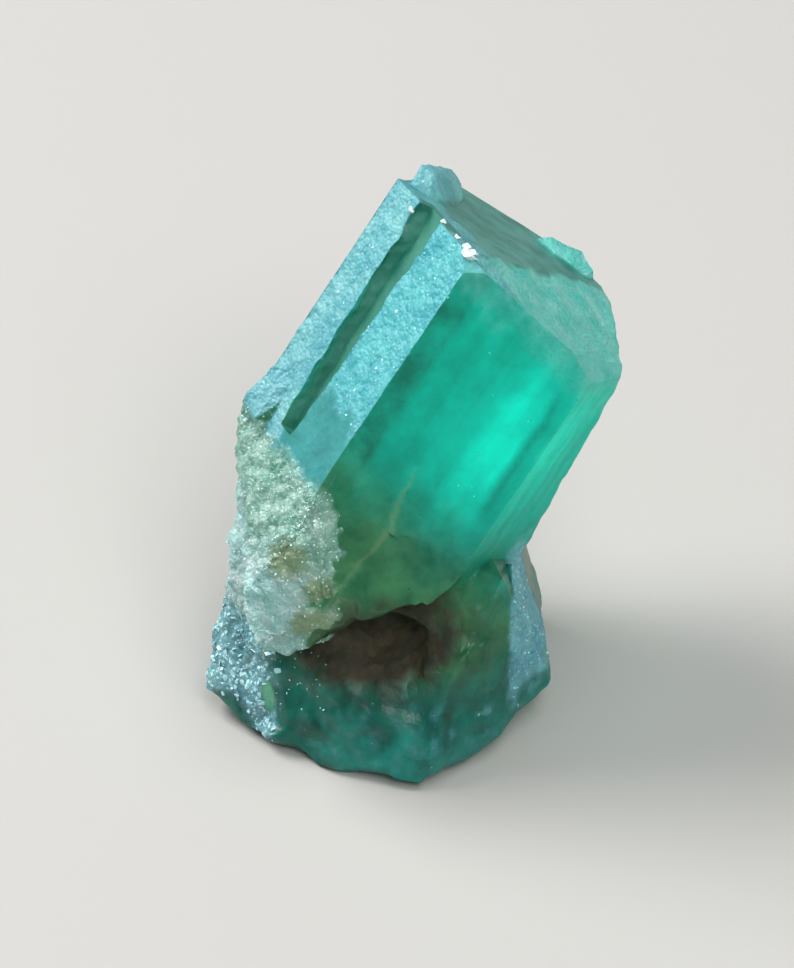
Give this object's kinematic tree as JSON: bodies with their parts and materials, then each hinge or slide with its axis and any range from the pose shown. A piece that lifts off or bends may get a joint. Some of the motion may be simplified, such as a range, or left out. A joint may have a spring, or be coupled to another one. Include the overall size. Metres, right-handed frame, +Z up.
{
  "type": "raw emerald crystal",
  "caption": "Raw emerald: a six-sided prism of clear green beryl, with one frosted grooved side and a worn end, leaning out of a rough broken stump with a flat foot.",
  "frame": {"origin": "centre of the stone's bounding box, on the surface that it stands on", "axes": "+Z up, -Y out of the large clear prism face towards the viewer, +X towards the side that the prism leans to"},
  "size_m": [0.0152, 0.0166, 0.0188],
  "materials": {
    "emerald": "natural crystal faces, clear on the front and frosted on the left, with rough broken stone below"
  },
  "bodies": {
    "root": {"emerald_crystal": "emerald"}
  },
  "joints": []
}
